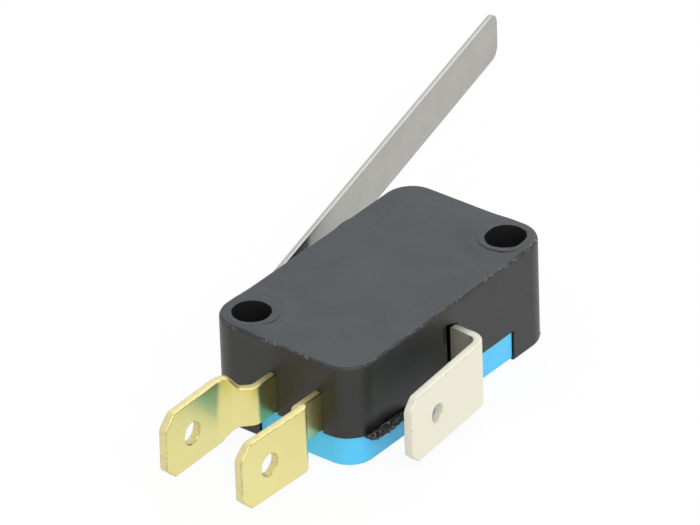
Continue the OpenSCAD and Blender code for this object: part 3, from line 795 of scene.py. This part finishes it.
class Fold:
    # centre line of a bent strip, read by its length
    def __init__(self, points, radii):
        points = [Vector(p) for p in points]
        self.pieces = []                                   # length, start, heading, bend
        at = points[0]
        for i, r in enumerate(radii):
            before = (points[i + 1] - points[i]).normalized()
            after = (points[i + 2] - points[i + 1]).normalized()
            turn = math.atan2(before.x * after.y - before.y * after.x, before.dot(after))
            trim = r * math.tan(abs(turn) / 2)
            start = points[i + 1] - before * trim
            heading = math.atan2(before.y, before.x)
            self.pieces.append(((start - at).length, at, heading, 0.0))
            self.pieces.append((abs(turn) * r, start, heading, math.copysign(1 / r, turn)))
            at = points[i + 1] + after * trim
        last = points[-1] - at
        self.pieces.append((last.length, at, math.atan2(last.y, last.x), 0.0))
        self.length = sum(piece[0] for piece in self.pieces)

    def at(self, s):
        for piece in self.pieces:
            length, start, heading, bend = piece
            if s <= length + 1e-9 or piece is self.pieces[-1]:
                break
            s -= length
        if bend == 0:
            return start + Vector((math.cos(heading), math.sin(heading))) * s, heading
        new = heading + bend * s
        step = Vector((math.sin(new) - math.sin(heading), math.cos(heading) - math.cos(new))) / bend
        return start + step, new

    def bends(self):
        s = 0.0
        for length, _, _, bend in self.pieces:
            if bend:
                yield s, s + length
            s += length

    def lengthAt(self, axis, value):
        # first length at which the line reaches a coordinate
        steps = 4000
        start = self.at(0)[0][axis] - value
        for i in range(1, steps + 1):
            s = self.length * i / steps
            if (self.at(s)[0][axis] - value) * start <= 0:
                return s
        return self.length


def onCircle(centre, radius, angle):
    return centre + Vector((math.cos(angle), math.sin(angle))) * radius


def roundedOutline(corners, spacing=0.08):
    # closed outline through corners of place along the strip, height and radius
    points = []
    for i, (x, y, r) in enumerate(corners):
        here = Vector((x, y))
        if r <= 0:
            points.append(here)
            continue
        a = (Vector(corners[i - 1][:2]) - here).normalized()
        b = (Vector(corners[(i + 1) % len(corners)][:2]) - here).normalized()
        half = a.angle(b) / 2
        centre = here + (a + b).normalized() * (r / math.sin(half))
        first = here + a * (r / math.tan(half)) - centre
        last = here + b * (r / math.tan(half)) - centre
        start = math.atan2(first.y, first.x)
        sweep = (math.atan2(last.y, last.x) - start + math.pi) % (2 * math.pi) - math.pi
        count = max(4, int(abs(sweep) * r / spacing) + 1)
        points += [onCircle(centre, r, start + sweep * k / count) for k in range(count + 1)]
    return points


def insetLoop(points, amount):
    # moves an anticlockwise loop inward
    moved = []
    for i, p in enumerate(points):
        a = (p - points[i - 1]).normalized()
        b = (points[(i + 1) % len(points)] - p).normalized()
        left = Vector((-a.y, a.x)) + Vector((-b.y, b.x))
        left.normalize()
        moved.append(p + left * (amount / max(0.4, left.dot(Vector((-a.y, a.x))))))
    return moved


stamping = {"arcs": 3, "holeSides": 44, "holeWobble": 0.018, "bendStep": 0.11}


def stampPlate(outline, hole, thick, edge, cuts):
    # flat plate in (length, thickness, height) with rounded edges and one punched hole
    bm = bmesh.new()
    zone = bm.faces.layers.float.new("zone")               # 1 on the punched side, 0.5 on its rounding
    arcs = stamping["arcs"]
    levels = []                                            # inset and place across the thickness
    for k in range(arcs + 1):
        a = math.pi / 2 * k / arcs
        levels.append((edge * (1 - math.sin(a)), edge * (1 - math.cos(a)) - thick / 2))
    levels += [(inset, -height) for inset, height in reversed(levels)]
    holeRows = []
    for inset, height in levels:
        r = hole["back"] + (hole["front"] - hole["back"]) * (height / thick + 0.5) + inset
        holeRows.append([])
        for k in range(stamping["holeSides"]):
            a = -2 * math.pi * k / stamping["holeSides"]
            wobble = 1 + stamping["holeWobble"] * waver(math.cos(a), math.sin(a), hole["at"].x, 0.6)
            holeRows[-1].append(onCircle(hole["at"], r * wobble, a))
    caps = [[], []]
    for rows in ([insetLoop(outline, inset) for inset, _ in levels], holeRows):
        rings = [[bm.verts.new((p.x, height, p.y)) for p in row] for row, (_, height) in zip(rows, levels)]
        for i, (a, b) in enumerate(zip(rings, rings[1:])):
            for k in range(len(a)):
                n = (k + 1) % len(a)
                face = bm.faces.new((a[k], a[n], b[n], b[k]))
                face[zone] = 1.0 if i == arcs else 0.5
        for cap, ring in zip(caps, (rings[0], rings[-1])):
            cap += [bm.edges.get((ring[k], ring[(k + 1) % len(ring)])) for k in range(len(ring))]
    for cap in caps:
        bmesh.ops.triangle_fill(bm, use_beauty=True, use_dissolve=False, edges=cap)
    for s in cuts:
        geom = list(bm.verts) + list(bm.edges) + list(bm.faces)
        bmesh.ops.bisect_plane(bm, geom=geom, dist=1e-5, plane_co=(s, 0, 0), plane_no=(1, 0, 0))
    bmesh.ops.recalc_face_normals(bm, faces=bm.faces)
    return bm


def foldPlate(name, bm, fold, zMiddle=0.0, twist=None):
    # bends the flat plate along its centre line; twist turns its end about its long axis
    for v in bm.verts:
        s, t, z = v.co
        at, heading = fold.at(s)
        x = at.x - math.sin(heading) * t
        y = at.y + math.cos(heading) * t
        if twist:
            angle = math.radians(twist["angle"]) * ease(-x, -twist["from"], -twist["to"])
            dy, dz = y - at.y, z - zMiddle
            y = at.y + dy * math.cos(angle) - dz * math.sin(angle)
            z = zMiddle + dz * math.cos(angle) + dy * math.sin(angle)
        v.co = Vector((x, y, z)) * mm
    zone = bm.faces.layers.float["zone"]
    for e in bm.edges:
        pair = [f[zone] > 0 for f in e.link_faces]
        e.smooth = len(pair) == 2 and pair[0] == pair[1]
    for f in bm.faces:
        f.smooth = True
    return newObject(name, bm)


def bendCuts(stretches):
    # where a flat plate is cut so that it can follow its bends
    cuts = []
    for low, high in stretches:
        count = max(4, int((high - low) / stamping["bendStep"]))
        cuts += [low + (high - low) * k / count for k in range(count + 1)]
    return cuts


def rootOf(name, node, place, direction):
    # the part of a strip inside the body stays as the solid has it
    root = cadCopy(name + "Root", node)
    roundEdges(root, 0.05, 40)
    cutAway(root, place, direction)
    return root


# tabs in millimetres; low and high are where the strip widens, at its lower and upper edge:
# the place and radius of the inner corner, then of the outer one
endTabs = {
    "thick": 0.8, "strip": 3.8, "cutAt": -1.8, "overlap": 0.05, "jog": 1.7, "jogEnd": -6.8,
    "chamfer": 1.2, "holeIn": 3.6, "hole": 1.05, "edge": 0.12, "tipGap": 0.014, "twistLength": 4.5,
}
upperTab = {
    "node": "nc_terminal", "y": -4.36, "side": 1, "splay": -1.5, "out": 0.35,
    "jog": (-5.3, -7.35), "radii": (0.95, 2.7),
    "low": (-6.4, 0.5, -7.9, 1.3), "high": (-6.2, 0.8, -7.0, 0.9), "tipRound": (0.22, 0.55),
    "twist": {"angle": 0.9, "from": -6.4, "to": -10.0},
}
lowerTab = {
    "node": "no_terminal", "y": -9.3, "side": -1, "splay": 2.0, "out": 0.0,
    "jog": (-5.95, -6.9), "radii": (0.55, 0.7),
    "low": (-6.3, 0.2, -6.6, 1.0), "high": (-6.2, 0.3, -6.75, 0.3), "tipRound": (0.22, 0.95),
    "twist": None,
}


def makeEndTab(name, spec):
    t = endTabs
    low, high = (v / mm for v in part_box(spec["node"]))
    middle = (low.z + high.z) / 2
    half = (high.z - low.z) / 2
    thin = t["strip"] / 2
    tip = low.x + t["tipGap"]
    y = spec["y"]
    jogFrom, jogTo = spec["jog"]
    lean = math.tan(math.radians(spec["splay"]))
    yTab = y + spec["side"] * (t["jog"] + spec["out"]) + (t["jogEnd"] - jogTo) * lean
    yTip = yTab + (jogTo - tip) * lean
    fold = Fold([(t["cutAt"] + t["overlap"], y), (jogFrom, y), (jogTo, yTab), (tip, yTip)], spec["radii"])
    end = fold.length
    slimLow, roundSlimLow, wideLow, roundWideLow = spec["low"]
    slimHigh, roundSlimHigh, wideHigh, roundWideHigh = spec["high"]
    slimHighAt = fold.lengthAt(0, slimHigh)
    c = t["chamfer"]
    lowRound, highRound = spec["tipRound"]
    outline = roundedOutline([(s, z + middle, r) for s, z, r in (
        (0, -thin, 0),
        (fold.lengthAt(0, slimLow), -thin, roundSlimLow),
        (fold.lengthAt(0, wideLow), -half, roundWideLow),
        (end - c, -half, lowRound),
        (end, c - half, lowRound),
        (end, half - c, highRound),
        (end - c, half, highRound),
        (fold.lengthAt(0, wideHigh), half, roundWideHigh),
        (slimHighAt, thin, roundSlimHigh),
        (0, thin, 0))])
    hole = {"at": Vector((end - t["holeIn"], middle)), "back": t["hole"], "front": t["hole"] * 0.97}
    stretches = list(fold.bends())
    if spec["twist"]:
        stretches.append((slimHighAt, slimHighAt + t["twistLength"]))
    plate = stampPlate(outline, hole, t["thick"], t["edge"], bendCuts(stretches))
    tab = foldPlate(name, plate, fold, middle, spec["twist"])
    joinInto(tab, rootOf(name, spec["node"], (t["cutAt"], 0, 0), (1, 0, 0)))
    finishPiece(tab, "switch_body", brassSheet, spec["node"])


sideTab = {
    "thick": 0.8, "cutAt": -12.4, "overlap": 0.05, "x": 11.05, "bendAt": -16.25, "bend": 1.25,
    "length": 11.9, "splay": 5.2, "width": 6.35, "chamfer": 1.0, "tipRound": (0.35, 0.75),
    "legLow": 3.35, "wideFrom": -14.95, "inner": 0.3, "rootRound": 0.95,
    "holeIn": 4.05, "holeFront": 0.84, "holeBack": 0.74, "edge": 0.09,
}


def makeSideTab(name):
    t = sideTab
    low, high = (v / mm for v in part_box("com_terminal"))
    splay = math.radians(t["splay"])
    tip = (t["x"] - t["length"] * math.cos(splay), t["bendAt"] - t["length"] * math.sin(splay))
    fold = Fold([(t["x"], t["cutAt"] + t["overlap"]), (t["x"], t["bendAt"]), tip], (t["bend"],))
    end = fold.length
    wide = fold.lengthAt(1, t["wideFrom"])
    top = high.z
    bottom = top - t["width"]
    c = t["chamfer"]
    lowRound, highRound = t["tipRound"]
    outline = roundedOutline((
        (0, t["legLow"], 0),
        (wide, t["legLow"], t["inner"]),
        (wide, bottom, t["rootRound"]),
        (end - c, bottom, lowRound),
        (end, bottom + c, lowRound),
        (end, top - c, highRound),
        (end - c, top, highRound),
        (0, top, 0)))
    hole = {"at": Vector((fold.lengthAt(0, low.x + t["holeIn"]), (top + bottom) / 2)),
            "back": t["holeBack"], "front": t["holeFront"]}
    plate = stampPlate(outline, hole, t["thick"], t["edge"], bendCuts(fold.bends()))
    tab = foldPlate(name, plate, fold)
    joinInto(tab, rootOf(name, "com_terminal", (0, t["cutAt"], 0), (0, 1, 0)))
    finishPiece(tab, "switch_body", platedSheet, "com_terminal")


print("tabs")
makeSideTab("commonTab")
makeEndTab("upperTab", upperTab)
makeEndTab("lowerTab", lowerTab)


leverEdges = {"round": 0.10}


def makeLever():
    lever = cadCopy("leverStrip", "lever")
    roundEdges(lever, leverEdges["round"], 40)
    finishPiece(lever, "lever_arm", leverSteel, "lever")


print("lever")
makeLever()


innerPieces = {                                            # these keep their solids
    "ivory": ("plunger",),
    "silver": ("nc_contact", "no_contact", "moving_contact"),
    "bronze": ("contact_blade",),
    "rockerSteel": ("rocker",),
    "springWire": ("snap_spring",),
}

print("inner pieces")
for finishName, pieceNames in innerPieces.items():
    innerFinished = innerMaterial(finishName)
    for pieceName in pieceNames:
        paint(nodes[pieceName], innerFinished)


studio = {
    "floorSize": 6.0,
    "floor": 0.93,
    "shadowShare": 0.08,
    "world": 0.80,
    "aim": (0.012, -0.004, 0.005),
    "lamps": {                                             # place, power and size
        "keyLight": ((-0.45, -0.75, 0.80), 4.4, 0.9),
        "fillLight": ((0.75, 0.15, 0.75), 2.2, 0.8),
    },
}


def seenDirectly(graph):
    # 1 where the eye, a mirror or clear plastic looks at a surface
    eye, mirror, clear = graph.node(
        "ShaderNodeLightPath", out=("Is Camera Ray", "Is Glossy Ray", "Is Transmission Ray"))
    return (eye + mirror + clear).clamp()


def makeFloor():
    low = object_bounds()[0][2]
    bm = bmesh.new()
    bmesh.ops.create_grid(bm, x_segments=2, y_segments=2, size=studio["floorSize"] / 2)
    floor = newObject("floor", bm)
    floor.location = (0, 0, low - 0.00002)
    mat = bpy.data.materials.new("paleFloor")
    mat.use_nodes = True
    graph = Graph(mat.node_tree)
    dull = graph.node("ShaderNodeBsdfDiffuse", Color=(studio["floor"],) * 3)
    glow = graph.node("ShaderNodeEmission", Color=(1.0, 1.0, 1.0), Strength=1.0)
    share = seenDirectly(graph) * (1 - studio["shadowShare"])
    surface = graph.node("ShaderNodeMixShader", i0=share, i1=dull, i2=glow)
    graph.tree.nodes.remove(graph.tree.nodes["Principled BSDF"])
    graph.fill(graph.tree.nodes["Material Output"].inputs["Surface"], surface)
    paint(floor, mat)


def areaLight(name, place, power, size):
    data = bpy.data.lights.new(name, "AREA")
    data.energy = power
    data.size = size
    light = bpy.data.objects.new(name, data)
    scene.collection.objects.link(light)
    light.location = place
    towards = Vector(studio["aim"]) - Vector(place)
    light.rotation_euler = towards.to_track_quat("-Z", "Y").to_euler()


def makeLight():
    world = bpy.data.worlds.new("softRoom")
    scene.world = world
    world.use_nodes = True
    graph = Graph(world.node_tree)
    sky = graph.tree.nodes["Background"]
    graph.fill(sky.inputs["Color"], (1.0, 1.0, 1.0))
    graph.fill(sky.inputs["Strength"], seenDirectly(graph) * (1 - studio["world"]) + studio["world"])
    for name, (place, power, size) in studio["lamps"].items():
        areaLight(name, place, power, size)
    scene.view_settings.view_transform = "Standard"


print("floor and light")
makeFloor()
makeLight()
